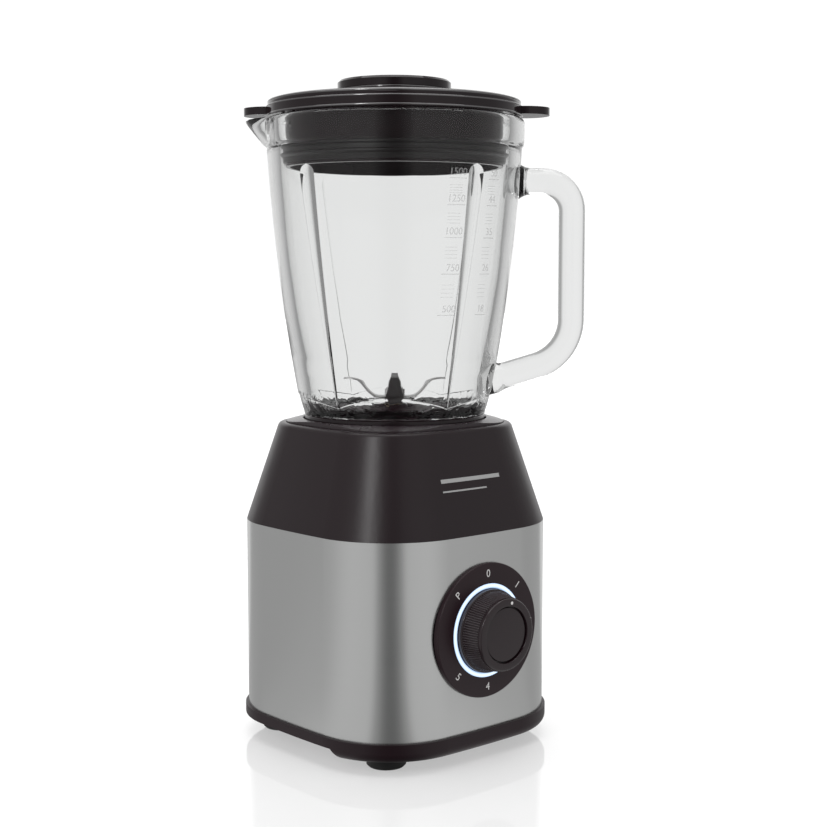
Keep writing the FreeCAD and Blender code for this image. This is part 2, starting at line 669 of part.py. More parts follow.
def lid():
    """Press-in lid: stepped rim with two thumb tabs, an insert for the gasket, a filler tube."""
    step = 379.8
    tube_in, tube_out = CAP_SKIRT_R + 0.35, CAP_SKIRT_R + 2.6
    outline = [(LID_R, LID_LOW), (LID_R, step), (LID_R - 0.7, step + 0.4), (LID_R - 0.7, LID_TOP - 2.2),
               (LID_R - 1.4, LID_TOP - 0.8), (LID_R - 3.2, LID_TOP), (56, 386.6), (36.5, CAP_LOW - 0.5),
               (tube_in, CAP_LOW - 0.5), (tube_in, 352), (tube_out, 352), (tube_out, 383.5), (60, 380.5),
               (62.4, 378), (62.4, INSERT_LOW), (INSERT_R, INSERT_LOW), (INSERT_R, LID_LOW)]
    tabs = []
    for turn, reach in ((HANDLE_TURN, 92.8), (HANDLE_TURN + 180, 90.3)):
        tongue = block(reach - 68, 30, 375.3, step, x=(reach + 68) / 2)
        end = disc(15.0, 370, 390, x=reach - 15.0).fuse(block(40, 30, 370, 390, x=reach - 35))
        tabs.append(spun(tongue.common(end), turn))
    return joined([turned(outline)] + tabs)


def lid_gasket():
    """Soft ring on the insert with two sealing lips."""
    r = INSERT_R
    return turned([(r, 346.3), (r + 1.2, 346.3), (r + 1.6, 349.2), (r + 3.2, 350.4), (r + 3.2, 351.2),
                   (r + 1.6, 352.2), (r + 1.6, 354.6), (r + 3.2, 355.6), (r + 3.2, 356.6),
                   (r + 1.8, 358.4), (r, 358.7)])


def measuring_cap():
    """Small cup turned upside down in the filler hole, with a wide top to hold it by."""
    wall = 2.0
    return turned([(0, CAP_TOP), (CAP_R - 1.3, CAP_TOP), (CAP_R, CAP_TOP - 1.3), (CAP_R, CAP_LOW + 1.6),
                   (CAP_R - 0.6, CAP_LOW), (CAP_SKIRT_R, CAP_LOW), (CAP_SKIRT_R - 0.6, 354.0),
                   (CAP_SKIRT_R - 0.6 - wall, 354.0), (CAP_SKIRT_R - wall, 391.5), (0, 391.5)])


NODES = [
    rubber_feet, base_plate, inner_frame, steel_wrap, motor_housing, top_deck, base_screws, cord_gland,
    dial_plate, light_ring, led_board, rotary_switch, switch_nut, switch_shaft, speed_knob, knob_cap,
    control_board, heat_sink, stator_core, field_coils, motor_frame_lower, motor_frame_upper,
    upper_bearing, lower_bearing, motor_mounts, motor_screws, carbon_brushes, brush_holders,
    motor_shaft, rotor_core, armature_windings, commutator, cooling_fan, air_duct, drive_coupling,
    micro_switch, interlock_plunger, interlock_spring,
    jug_glass, jug_collar, blade_seat, blade_seal, shaft_bush,
    blade_shaft, upper_blade, lower_blade, blade_washer, blade_nut, driven_coupling,
    lid, lid_gasket, measuring_cap,
]

os.makedirs("parts", exist_ok=True)
for make in NODES:
    shape = make()
    box = shape.BoundBox
    print(f"{make.__name__:20s} solids {len(shape.Solids)} valid {shape.isValid()}"
          f" volume {shape.Volume:.0f} z {box.ZMin:.1f} to {box.ZMax:.1f}")
    shape.exportStep(f"parts/{make.__name__}.step")
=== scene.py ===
from math import cos, pi, radians, sin

import bmesh
import bpy
import numpy as np
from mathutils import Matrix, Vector


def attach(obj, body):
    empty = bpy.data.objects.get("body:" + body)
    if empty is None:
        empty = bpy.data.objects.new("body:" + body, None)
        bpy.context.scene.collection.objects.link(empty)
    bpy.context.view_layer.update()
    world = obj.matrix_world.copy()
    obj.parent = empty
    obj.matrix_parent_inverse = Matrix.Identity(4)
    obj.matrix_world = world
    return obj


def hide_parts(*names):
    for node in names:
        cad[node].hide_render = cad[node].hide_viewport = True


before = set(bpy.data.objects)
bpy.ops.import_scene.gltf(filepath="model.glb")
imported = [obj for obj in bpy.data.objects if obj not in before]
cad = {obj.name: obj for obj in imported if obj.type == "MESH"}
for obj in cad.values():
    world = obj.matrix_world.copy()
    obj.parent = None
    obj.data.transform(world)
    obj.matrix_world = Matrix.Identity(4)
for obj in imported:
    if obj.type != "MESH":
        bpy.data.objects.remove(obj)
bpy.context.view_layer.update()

scene = bpy.context.scene
MM = 0.001


# The studio: a pale polished sheet under the blender, a large soft lamp overhead and a narrow one high
# at the left. The room, and the sheet as the blender mirrors it, are bright beyond the blender and dim
# behind the camera, which gives the steel its dark band and the glass its grey edges.
camera_turn, camera_reach, camera_height = radians(-40.866), 0.9226, 0.286
camera = bpy.data.objects.new("camera", bpy.data.cameras.new("camera"))
camera.data.lens = 66.12
camera.data.sensor_width = 36.0
camera.location = (camera_reach * sin(camera_turn), -camera_reach * cos(camera_turn), camera_height)
camera.rotation_euler = (radians(90 - 5.541), 0, radians(-41.577))
scene.collection.objects.link(camera)
scene.camera = camera
scene.view_settings.view_transform = "Standard"
towards_camera = Vector((-0.655, -0.756, 0.0))


def soft_lamp(name, place, aim, size, power):
    """An area lamp on a stand, turned to face a point."""
    lamp = bpy.data.lights.new(name, "AREA")
    lamp.shape, lamp.size, lamp.size_y, lamp.energy = "RECTANGLE", size[0], size[1], power
    holder = bpy.data.objects.new(name, lamp)
    holder.location = place
    holder.rotation_euler = (Vector(aim) - Vector(place)).to_track_quat("-Z", "Y").to_euler()
    scene.collection.objects.link(holder)
    return holder


soft_lamp("lamp_top", (0.0, 0.1, 1.7), (0, 0, 0.2), (1.6, 1.6), 16)
lamp_left = soft_lamp("lamp_left", (-1.18, -0.41, 0.86), (0, 0, 0.15), (0.2, 0.5), 3.6)


def add_node(tree, kind, inputs=(), **settings):
    """A new node with its settings, and with values for some of its inputs by name or number."""
    made = tree.nodes.new(kind)
    for setting, value in settings.items():
        setattr(made, setting, value)
    for socket, value in dict(inputs).items():
        made.inputs[socket].default_value = value
    return made


def wire(tree, *pairs):
    for output, socket in pairs:
        tree.links.new(output, socket)


BEYOND, BEHIND = (1, 1, 1, 1), (0.16, 0.16, 0.16, 1)
ROOM_LEVELS = ((0.07, 0.96), (0.17, 0.45), (0.44, 0.44), (0.57, 0.5), (0.86, 0.64), (0.972, 0.62),
               (0.99, 0.34))
THROUGH_GLASS, INSIDE_GLASS, MIRRORED = 0.85, 0.6, 1.1


def room_light(tree, direction, mirrored_beyond):
    """Brightness of the room by compass direction, less for light that bounces inside the glass.
    What surfaces mirror from straight beyond the blender has a level of its own."""
    level = add_node(tree, "ShaderNodeVectorMath", {1: (1, 1, 0)}, operation="MULTIPLY")
    compass = add_node(tree, "ShaderNodeVectorMath", operation="NORMALIZE")
    facing = add_node(tree, "ShaderNodeVectorMath", {1: towards_camera}, operation="DOT_PRODUCT")
    share = add_node(tree, "ShaderNodeMapRange", {"From Min": -1.0})
    walls = add_node(tree, "ShaderNodeValToRGB")
    walls.color_ramp.interpolation = "EASE"
    walls.color_ramp.elements[0].color, walls.color_ramp.elements[1].color = BEYOND, BEHIND
    for position, brightness in ROOM_LEVELS:
        walls.color_ramp.elements.new(position).color = (brightness, brightness, brightness, 1)
    seen = add_node(tree, "ShaderNodeLightPath")
    bounced = add_node(tree, "ShaderNodeMapRange", {"To Min": THROUGH_GLASS, "To Max": INSIDE_GLASS})
    grazing = add_node(tree, "ShaderNodeMapRange",
                       {"From Max": 0.12, "To Min": mirrored_beyond, "To Max": MIRRORED})
    dimmed = add_node(tree, "ShaderNodeMapRange")
    product = add_node(tree, "ShaderNodeMath", operation="MULTIPLY")
    wire(tree, (direction, level.inputs[0]), (level.outputs[0], compass.inputs[0]),
         (compass.outputs[0], facing.inputs[0]), (facing.outputs["Value"], share.inputs["Value"]),
         (share.outputs["Result"], walls.inputs["Fac"]), (share.outputs["Result"], grazing.inputs["Value"]),
         (seen.outputs["Glossy Depth"], bounced.inputs["Value"]),
         (grazing.outputs["Result"], dimmed.inputs["To Min"]),
         (bounced.outputs["Result"], dimmed.inputs["To Max"]),
         (seen.outputs["Is Transmission Ray"], dimmed.inputs["Value"]),
         (walls.outputs["Color"], product.inputs[0]), (dimmed.outputs["Result"], product.inputs[1]))
    return product.outputs[0], seen.outputs["Is Camera Ray"]


room = bpy.data.worlds.new("studio")
room.use_nodes = True
scene.world = room
tree, backdrop = room.node_tree, room.node_tree.nodes["Background"]
backdrop.inputs["Color"].default_value = (1, 1, 1, 1)
walls, by_camera = room_light(tree, add_node(tree, "ShaderNodeTexCoord").outputs["Generated"], MIRRORED)
strength = add_node(tree, "ShaderNodeMix", {3: 1.05})
wire(tree, (walls, strength.inputs[2]), (by_camera, strength.inputs[0]),
     (strength.outputs[0], backdrop.inputs["Strength"]))


def plain_finish(name, colour, roughness, metallic=0.0):
    finish = bpy.data.materials.new(name)
    finish.use_nodes = True
    shader = finish.node_tree.nodes["Principled BSDF"]
    shader.inputs["Base Color"].default_value = (*colour, 1)
    shader.inputs["Roughness"].default_value = roughness
    shader.inputs["Metallic"].default_value = metallic
    return finish


def built(name, points, faces, finish, crease=35.0):
    """A mesh piece at the origin, its faces outwards, smooth but for edges sharper than the crease."""
    shape = bmesh.new()
    corners = [shape.verts.new(p) for p in points]
    for face in faces:
        shape.faces.new([corners[i] for i in face])
    if len(faces) > 1:
        bmesh.ops.recalc_face_normals(shape, faces=shape.faces)
    mesh = bpy.data.meshes.new(name)
    shape.to_mesh(mesh)
    shape.free()
    mesh.shade_smooth()
    mesh.set_sharp_from_angle(angle=radians(crease))
    mesh.materials.append(finish)
    piece = bpy.data.objects.new(name, mesh)
    scene.collection.objects.link(piece)
    return piece


sheet_finish = plain_finish("pale_sheet", (0.5, 0.5, 0.5), 0.04)
tree, shader = sheet_finish.node_tree, sheet_finish.node_tree.nodes["Principled BSDF"]
shader.inputs["Emission Color"].default_value = (1, 1, 1, 1)
shader.inputs["Emission Strength"].default_value = 0.45
walls, by_camera = room_light(tree, add_node(tree, "ShaderNodeTexCoord").outputs["Object"], 0.4)
mirrored, either = add_node(tree, "ShaderNodeEmission"), add_node(tree, "ShaderNodeMixShader")
wire(tree, (walls, mirrored.inputs["Strength"]), (by_camera, either.inputs["Fac"]),
     (mirrored.outputs["Emission"], either.inputs[1]), (shader.outputs["BSDF"], either.inputs[2]),
     (either.outputs["Shader"], tree.nodes["Material Output"].inputs["Surface"]))
SHEET, SHEET_TOP = 6, -0.0004
floor = built("floor", [(x * SHEET, y * SHEET, SHEET_TOP) for x, y in ((-1, -1), (1, -1), (1, 1), (-1, 1))],
              [(0, 1, 2, 3)], sheet_finish)


# Rubber feet: four soft black feet, moulded with a fine matt grain and pressed into the base plate.
def mould_grain_group():
    """Height of a moulded surface's fine grain, and a slow patchiness of its gloss."""
    group = bpy.data.node_groups.new("mould_grain", "ShaderNodeTree")
    for socket, value in (("Grain Scale", 900.0), ("Patch Scale", 18.0)):
        made = group.interface.new_socket(socket, in_out="INPUT", socket_type="NodeSocketFloat")
        made.default_value = value
    for socket in ("Height", "Patch"):
        group.interface.new_socket(socket, in_out="OUTPUT", socket_type="NodeSocketFloat")
    start, end = add_node(group, "NodeGroupInput"), add_node(group, "NodeGroupOutput")
    place = add_node(group, "ShaderNodeTexCoord")
    for scale, result, detail in (("Grain Scale", "Height", 2.0), ("Patch Scale", "Patch", 4.0)):
        noise = add_node(group, "ShaderNodeTexNoise", {"Detail": detail})
        wire(group, (place.outputs["Object"], noise.inputs["Vector"]),
             (start.outputs[scale], noise.inputs["Scale"]), (noise.outputs["Fac"], end.inputs[result]))
    return group


mould_grain = mould_grain_group()


def vary(finish, group, mask, height, roughness, spread, colour, shade, depth):
    """Drive a finish's gloss, tone and bump from a group's mask and height."""
    tree, shader = finish.node_tree, finish.node_tree.nodes["Principled BSDF"]
    gloss = add_node(tree, "ShaderNodeMapRange", {
        "From Min": 0.3, "From Max": 0.7, "To Min": max(roughness - spread / 2, 0.01),
        "To Max": roughness + spread / 2})
    darker, lighter = [c * (1 - shade) for c in colour], [min(c * (1 + shade), 1) for c in colour]
    tone = add_node(tree, "ShaderNodeMix", {6: (*darker, 1), 7: (*lighter, 1)}, data_type="RGBA")
    bump = add_node(tree, "ShaderNodeBump", {"Strength": 1.0, "Distance": depth * MM})
    wire(tree, (group.outputs[mask], gloss.inputs["Value"]),
         (gloss.outputs["Result"], shader.inputs["Roughness"]),
         (group.outputs[mask], tone.inputs[0]), (tone.outputs[2], shader.inputs["Base Color"]),
         (group.outputs[height], bump.inputs["Height"]), (bump.outputs["Normal"], shader.inputs["Normal"]))


def moulded(name, colour, roughness, spread=0.08, grain=900.0, depth=0.02, patch=18.0, metallic=0.0,
            shine=0.5):
    """Moulded plastic, rubber or cast metal: a fine grain and a slight unevenness of gloss."""
    finish = plain_finish(name, colour, roughness, metallic)
    finish.node_tree.nodes["Principled BSDF"].inputs["Specular IOR Level"].default_value = shine
    group = add_node(finish.node_tree, "ShaderNodeGroup", {"Grain Scale": grain, "Patch Scale": patch},
                     node_tree=mould_grain)
    vary(finish, group, "Patch", "Height", roughness, spread, colour, 0.12, depth)
    return finish


def dress(finish, *names):
    for name in names:
        for slot in cad[name].material_slots:
            slot.material = finish


dress(moulded("foot_rubber", (0.012, 0.0115, 0.0115), 0.65, grain=1500, depth=0.03), "rubber_feet")


# Base plate, with the air duct and the gland: moulded in black with a fine matt texture. The tray's
# skirt stands round the feet, and its lip closes round the foot of the steel.
plate_black = moulded("plate_black", (0.0120, 0.0030, 0.0060), 0.4, grain=1400, depth=0.015, shine=0.3)
dress(plate_black, "base_plate", "air_duct", "cord_gland")


# Fixings: zinc-plated screws, nuts, washers and the switch's return spring, with fine turned lines.
def fine_lines_group():
    """Height and tone of fine lines, long on one pair of axes and close together on the other."""
    group = bpy.data.node_groups.new("fine_lines", "ShaderNodeTree")
    group.interface.new_socket("Stretch", in_out="INPUT", socket_type="NodeSocketVector")
    for socket in ("Height", "Streak"):
        group.interface.new_socket(socket, in_out="OUTPUT", socket_type="NodeSocketFloat")
    start, end = add_node(group, "NodeGroupInput"), add_node(group, "NodeGroupOutput")
    place = add_node(group, "ShaderNodeTexCoord")
    drawn = add_node(group, "ShaderNodeVectorMath", operation="MULTIPLY")
    wire(group, (place.outputs["Object"], drawn.inputs[0]), (start.outputs["Stretch"], drawn.inputs[1]))
    for result, scale, detail in (("Height", 1.0, 2.0), ("Streak", 0.3, 3.0)):
        noise = add_node(group, "ShaderNodeTexNoise", {"Scale": scale, "Detail": detail})
        wire(group, (drawn.outputs[0], noise.inputs["Vector"]), (noise.outputs["Fac"], end.inputs[result]))
    return group


fine_lines = fine_lines_group()


def drawn_metal(name, colour, roughness, stretch, depth=0.001, spread=0.08, shade=0.06):
    """Bare metal with the fine lines that brushing, grinding or turning leaves."""
    finish = plain_finish(name, colour, roughness, 1.0)
    group = add_node(finish.node_tree, "ShaderNodeGroup", {"Stretch": stretch}, node_tree=fine_lines)
    vary(finish, group, "Streak", "Height", roughness, spread, colour, shade, depth)
    return finish


zinc = drawn_metal("zinc_plate", (0.62, 0.62, 0.6), 0.3, (60, 60, 900))
dress(zinc, "base_screws", "motor_screws", "switch_nut", "interlock_spring", "blade_washer")


# Motor: stacked laminations and wound copper between two cast brackets, hung on rubber bushes under
# the deck. The rotor carries a moulded fan below and the drive star above.
dress(drawn_metal("laminations", (0.26, 0.26, 0.27), 0.45, (3, 3, 2600), depth=0.03),
      "stator_core", "rotor_core")
dress(drawn_metal("wound_copper", (0.62, 0.24, 0.1), 0.35, (8, 8, 1600), depth=0.08),
      "field_coils", "armature_windings")
dress(drawn_metal("commutator_copper", (0.75, 0.4, 0.22), 0.25, (900, 900, 10)), "commutator")
dress(moulded("cast_aluminium", (0.45, 0.46, 0.47), 0.45, grain=700, depth=0.05, metallic=1.0),
      "motor_frame_lower", "motor_frame_upper", "heat_sink")
ground_steel = drawn_metal("ground_steel", (0.66, 0.66, 0.67), 0.18, (20, 20, 1500))
dress(ground_steel, "upper_bearing", "lower_bearing", "motor_shaft", "blade_shaft")
dress(drawn_metal("stamped_brass", (0.7, 0.5, 0.2), 0.3, (300, 300, 300)), "brush_holders", "shaft_bush")
dress(moulded("pressed_carbon", (0.03, 0.03, 0.032), 0.55, grain=2500), "carbon_brushes")
soft_black = moulded("seal_rubber", (0.0105, 0.0085, 0.0088), 0.3, grain=1800, depth=0.003)
dress(soft_black, "motor_mounts", "blade_seal", "lid_gasket")
dress(moulded("fan_white", (0.62, 0.61, 0.57), 0.4), "cooling_fan", "interlock_plunger")


# Switches and boards: grey moulded cases, and two boards under green solder mask.
dress(moulded("switch_grey", (0.12, 0.12, 0.13), 0.4), "rotary_switch", "switch_shaft", "micro_switch")
dress(moulded("solder_mask", (0.015, 0.11, 0.045), 0.3, patch=60), "control_board", "led_board")


# Steel wrap: one stainless sheet, brushed along its length, bent round the base and closed behind.
steel = drawn_metal("brushed_stainless", (0.56, 0.565, 0.56), 0.24, (1.5, 1.5, 1700), depth=0.0001,
                    spread=0.03, shade=0.02)
steel_shader = steel.node_tree.nodes["Principled BSDF"]
steel_shader.inputs["Anisotropic"].default_value = 0.6
steel_shader.inputs["Anisotropic Rotation"].default_value = 0.25
grain_way = add_node(steel.node_tree, "ShaderNodeTangent", direction_type="RADIAL", axis="Z")
wire(steel.node_tree, (grain_way.outputs["Tangent"], steel_shader.inputs["Tangent"]))
dress(steel, "steel_wrap")


# Motor housing: moulded in black with a satin spark texture. A plain sleeve of the same plastic stands
# behind the steel, and two thin silver lines are printed on the front of the slope.
housing_black = moulded("housing_black", (0.0105, 0.0040, 0.0062), 0.33, spread=0.03, grain=1300,
                        depth=0.03, patch=9, shine=0.4)
dress(housing_black, "motor_housing", "inner_frame")
silver_print = moulded("silver_print", (0.42, 0.42, 0.42), 0.4, grain=1200, depth=0.004)
STEEL_TOP, HOUSING_TOP, STEEL_HALF, TOP_HALF, BOW = 132.8, 192.0, 80.0, 62.2, 8.5


def slope_place(x, z):
    """Point on the housing's bowed front slope, a hair proud of it, in millimetres."""
    half = STEEL_HALF - (z - STEEL_TOP) / (HOUSING_TOP - STEEL_TOP) * (STEEL_HALF - TOP_HALF)
    return x, -half + x * x / (2 * BOW * half) - 0.04, z


def printed_line(low, high, left, right, steps=24):
    points = [slope_place(left + (right - left) * i / steps, z)
              for i in range(steps + 1) for z in (low, high)]
    return points, [(2 * i, 2 * i + 2, 2 * i + 3, 2 * i + 1) for i in range(steps)]


def take_in(points, faces, more, sides):
    """Add another shape's points and faces to a shape in the making."""
    faces += [tuple(i + len(points) for i in side) for side in sides]
    points += more


points, faces = [], []
for low, high, left, right in ((163.2, 165.4, -26, 20), (158.0, 158.9, -26, 8)):
    take_in(points, faces, *printed_line(low, high, left, right))
lines = built("front_lines", [Vector(p) * MM for p in points], faces, silver_print)
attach(lines, "base")


# Top deck: a smoother black plate let into the top of the housing, dished round the well.
dress(moulded("deck_black", (0.022, 0.0128, 0.0165), 0.26, grain=1600, depth=0.012), "top_deck")


# Dial: a round satin plate on the steel with a rounded edge, and a clear ring in its groove that the
# lamps behind it light. Its scale is printed in white: pulse, off, and five speeds.
DIAL_Z = 76.7


def turned_front(name, outline, finish, steps=192, crease=35.0):
    """A closed outline of (radius, depth on Y) in millimetres, turned about the dial's axis."""
    points, rows = [], []
    for radius, depth in outline:
        count = steps if radius > 0 else 1
        rows.append([len(points) + i % count for i in range(steps)])
        for i in range(count):
            turn = 2 * pi * i / steps
            points.append((radius * sin(turn) * MM, depth * MM, (DIAL_Z + radius * cos(turn)) * MM))
    faces = []
    for here, there in zip(rows, rows[1:] + rows[:1]):
        for i in range(steps):
            side = (here[i], here[(i + 1) % steps], there[(i + 1) % steps], there[i])
            side = tuple(dict.fromkeys(side))
            if len(side) > 2:
                faces.append(side)
    return built(name, points, faces, finish, crease)


def rounded(corner, before, after, steps=5):
    """Points of a small round between two ends, pulled towards a corner."""
    a, b, c = (np.array(p, float) for p in (before, corner, after))
    return [tuple((1 - t) ** 2 * a + 2 * t * (1 - t) * b + t * t * c) for t in np.linspace(0, 1, steps)]


DIAL_FRONT, DIAL_FLOOR, DIAL_BACK = -82.2, -78.2, -79.0
DIAL_EDGE, RING_IN, RING_OUT, BORE = 39.3, 24.5, 27.3, 6.0
dial_black = moulded("dial_black", (0.0157, 0.0045, 0.0080), 0.36, grain=1800, depth=0.012, shine=0.35)
edge = rounded((DIAL_EDGE, DIAL_FRONT), (DIAL_EDGE - 1, DIAL_FRONT), (DIAL_EDGE, DIAL_FRONT + 0.9))
plate = turned_front(
    "dial_face", [(RING_IN, DIAL_FRONT), (RING_IN, DIAL_FLOOR), (RING_OUT, DIAL_FLOOR),
                  (RING_OUT, DIAL_FRONT)]
    + edge + [(DIAL_EDGE, DIAL_BACK), (31.2, DIAL_BACK), (31.2, -78.6), (30.6, -76.6), (BORE, -76.6),
              (BORE, DIAL_FRONT)], dial_black)
for corner in plate.data.vertices:
    if abs(corner.co.y - DIAL_BACK * MM) < 1e-6:
        corner.co.y = -(STEEL_HALF + 0.03) * MM + corner.co.x ** 2 / (2 * BOW * STEEL_HALF * MM)
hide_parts("dial_plate")
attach(plate, "base")

glow = plain_finish("lit_ring", (0.55, 0.62, 0.72), 0.3)
tree, shader = glow.node_tree, glow.node_tree.nodes["Principled BSDF"]
shader.inputs["Emission Strength"].default_value = 1.0
place = add_node(tree, "ShaderNodeTexCoord")
flat_place = add_node(tree, "ShaderNodeVectorMath", {1: (1, 0, 1)}, operation="MULTIPLY")
from_axis = add_node(tree, "ShaderNodeVectorMath", {1: (0, 0, DIAL_Z * MM)}, operation="DISTANCE")
across = add_node(tree, "ShaderNodeMapRange", {"From Min": RING_IN * MM, "From Max": RING_OUT * MM})
tint = add_node(tree, "ShaderNodeValToRGB")
tint.color_ramp.elements[0].color = (0.10, 0.20, 0.42, 1)
tint.color_ramp.elements[1].color = (0.26, 0.42, 0.70, 1)
for position, colour in ((0.25, (0.50, 0.68, 0.92, 1)), (0.55, (0.72, 0.83, 0.97, 1)),
                         (0.8, (0.55, 0.72, 0.95, 1))):
    tint.color_ramp.elements.new(position).color = colour
wire(tree, (place.outputs["Object"], flat_place.inputs[0]), (flat_place.outputs[0], from_axis.inputs[0]),
     (from_axis.outputs["Value"], across.inputs["Value"]), (across.outputs["Result"], tint.inputs["Fac"]),
     (tint.outputs["Color"], shader.inputs["Emission Color"]))
ring = turned_front("lit_ring", [(24.55, -78.3), (27.25, -78.3), (27.25, -82.1)]
                    + rounded((26.9, -82.5), (27.25, -82.2), (26.2, -82.5))
                    + rounded((24.9, -82.5), (25.6, -82.5), (24.55, -82.2)), glow)
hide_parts("light_ring")
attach(ring, "base")


def lettering(text, size, thickness, align="CENTER"):
    """Flat letters as a mesh: lists of (right, up, proud) in millimetres, and their faces."""
    curve = bpy.data.curves.new("letters", "FONT")
    curve.body, curve.size, curve.extrude = text, size, thickness / 2
    curve.align_x, curve.align_y, curve.resolution_u = align, "CENTER", 4
    letters = bpy.data.objects.new("letters", curve)
    scene.collection.objects.link(letters)
    bpy.context.view_layer.update()
    mesh = bpy.data.meshes.new_from_object(letters.evaluated_get(bpy.context.evaluated_depsgraph_get()))
    shape = bmesh.new()
    shape.from_mesh(mesh)
    bmesh.ops.remove_doubles(shape, verts=shape.verts, dist=1e-5)
    shape.verts.index_update()
    points = [tuple(v.co) for v in shape.verts]
    faces = [tuple(v.index for v in f.verts) for f in shape.faces]
    shape.free()
    bpy.data.objects.remove(letters)
    bpy.data.curves.remove(curve)
    bpy.data.meshes.remove(mesh)
    return points, faces


white_print = moulded("white_print", (0.86, 0.85, 0.84), 0.5, grain=1200, depth=0.004)
LABEL_R = 33.2
points, faces = [], []
for degrees, text in ((-45, "P"), (0, "0"), (45, "1"), (88, "2"), (130, "3"), (180, "4"), (225, "5")):
    at = radians(degrees)
    lean = at if degrees < 100 else at - pi
    letters, sides = lettering(text, 6.3, 0.06)
    placed = []
    for right, up, proud in letters:
        x = LABEL_R * sin(at) + right * cos(lean) + up * sin(lean)
        z = LABEL_R * cos(at) - right * sin(lean) + up * cos(lean)
        placed.append((x * MM, (DIAL_FRONT - 0.02 - proud) * MM, (DIAL_Z + z) * MM))
    take_in(points, faces, placed, sides)
scale = built("dial_scale", points, faces, white_print)
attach(scale, "base")


# Speed knob: moulded in black, tapered towards its rim, with fine grip ribs round its side. A gloss
# disc is pressed into the front, a little below the rim, and a white dot points at the scale.
knob_black = moulded("knob_black", (0.0155, 0.0070, 0.0095), 0.2, grain=2000, depth=0.006)
KNOB_FRONT, RECESS_R, DISC_R, DISC_FRONT = -98.0, 16.4, 15.7, -96.8
grip = [(22.9, -85.4), (22.3, -88.0), (21.7, -91.0), (21.2, -94.0), (21.0, -95.6)]
knob = turned_front("knob_shell", [(3.0, -88.5), (12.5, -88.5), (12.5, -82.7), (24.3, -82.7), (24.3, -84.4)]
                    + rounded((24.3, -85.2), (24.3, -84.6), (23.4, -85.2)) + grip
                    + rounded((20.9, KNOB_FRONT), (20.95, KNOB_FRONT + 1.2), (19.6, KNOB_FRONT))
                    + rounded((RECESS_R, KNOB_FRONT), (RECESS_R + 0.7, KNOB_FRONT),
                              (RECESS_R, KNOB_FRONT + 0.7))
                    + [(RECESS_R, -95.0), (3.0, -95.0)], knob_black)
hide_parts("speed_knob")
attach(knob, "knob")


def repeat_tree():
    """Copies one unit, each turned about a pivot and shifted a step further than the one before."""
    tree = bpy.data.node_groups.new("repeat_unit", "GeometryNodeTree")
    sockets = (("Unit", "NodeSocketObject"), ("Count", "NodeSocketInt"), ("Turn", "NodeSocketVector"),
               ("Pivot", "NodeSocketVector"), ("Shift", "NodeSocketVector"), ("Finish", "NodeSocketMaterial"))
    for name, kind in sockets:
        tree.interface.new_socket(name, in_out="INPUT", socket_type=kind)
    tree.interface.new_socket("Geometry", in_out="OUTPUT", socket_type="NodeSocketGeometry")
    start, end = add_node(tree, "NodeGroupInput"), add_node(tree, "NodeGroupOutput")
    line = add_node(tree, "GeometryNodeMeshLine", {"Offset": (0, 0, 0)})
    unit = add_node(tree, "GeometryNodeObjectInfo", {"As Instance": True})
    place = add_node(tree, "GeometryNodeInstanceOnPoints")
    index = add_node(tree, "GeometryNodeInputIndex")
    turns = add_node(tree, "ShaderNodeVectorMath", operation="SCALE")
    shifts = add_node(tree, "ShaderNodeVectorMath", operation="SCALE")
    turn = add_node(tree, "GeometryNodeRotateInstances", {"Local Space": False})
    shift = add_node(tree, "GeometryNodeTranslateInstances", {"Local Space": False})
    real, finish = add_node(tree, "GeometryNodeRealizeInstances"), add_node(tree, "GeometryNodeSetMaterial")
    wire(tree, (start.outputs["Turn"], turns.inputs[0]), (index.outputs[0], turns.inputs["Scale"]),
         (start.outputs["Shift"], shifts.inputs[0]), (index.outputs[0], shifts.inputs["Scale"]),
         (start.outputs["Count"], line.inputs["Count"]), (start.outputs["Unit"], unit.inputs["Object"]),
         (line.outputs["Mesh"], place.inputs["Points"]), (unit.outputs["Geometry"], place.inputs["Instance"]),
         (place.outputs["Instances"], turn.inputs["Instances"]), (turns.outputs[0], turn.inputs["Rotation"]),
         (start.outputs["Pivot"], turn.inputs["Pivot Point"]),
         (turn.outputs["Instances"], shift.inputs["Instances"]),
         (shifts.outputs[0], shift.inputs["Translation"]),
         (shift.outputs["Instances"], real.inputs["Geometry"]),
         (real.outputs["Geometry"], finish.inputs["Geometry"]),
         (start.outputs["Finish"], finish.inputs["Material"]),
         (finish.outputs["Geometry"], end.inputs["Geometry"]))
    return tree


repeat_unit = repeat_tree()


def repeated(name, unit, finish, count, turn=(0, 0, 0), pivot=(0, 0, 0), shift=(0, 0, 0)):
    """A plain mesh piece of a unit repeated by the tree; the unit itself is used up."""
    holder = bpy.data.objects.new(name, bpy.data.meshes.new(name))
    scene.collection.objects.link(holder)
    making = holder.modifiers.new("repeat", "NODES")
    making.node_group = repeat_unit
    values = {"Unit": unit, "Count": count, "Turn": turn, "Pivot": pivot, "Shift": shift, "Finish": finish}
    for socket in repeat_unit.interface.items_tree:
        if socket.in_out == "INPUT":
            making[socket.identifier] = values[socket.name]
    mesh = bpy.data.meshes.new_from_object(
        holder.evaluated_get(bpy.context.evaluated_depsgraph_get()))
    holder.modifiers.remove(making)
    old, holder.data = holder.data, mesh
    bpy.data.meshes.remove(old)
    bpy.data.objects.remove(unit)
    mesh.name = name
    return holder


def ring_sides(rows, columns, start=0, closed=False):
    """Four-cornered faces between neighbouring rows, each row a closed ring of points."""
    return [(start + columns * row + i, start + columns * row + (i + 1) % columns,
             start + columns * ((row + 1) % rows) + (i + 1) % columns,
             start + columns * ((row + 1) % rows) + i)
            for row in range(rows if closed else rows - 1) for i in range(columns)]


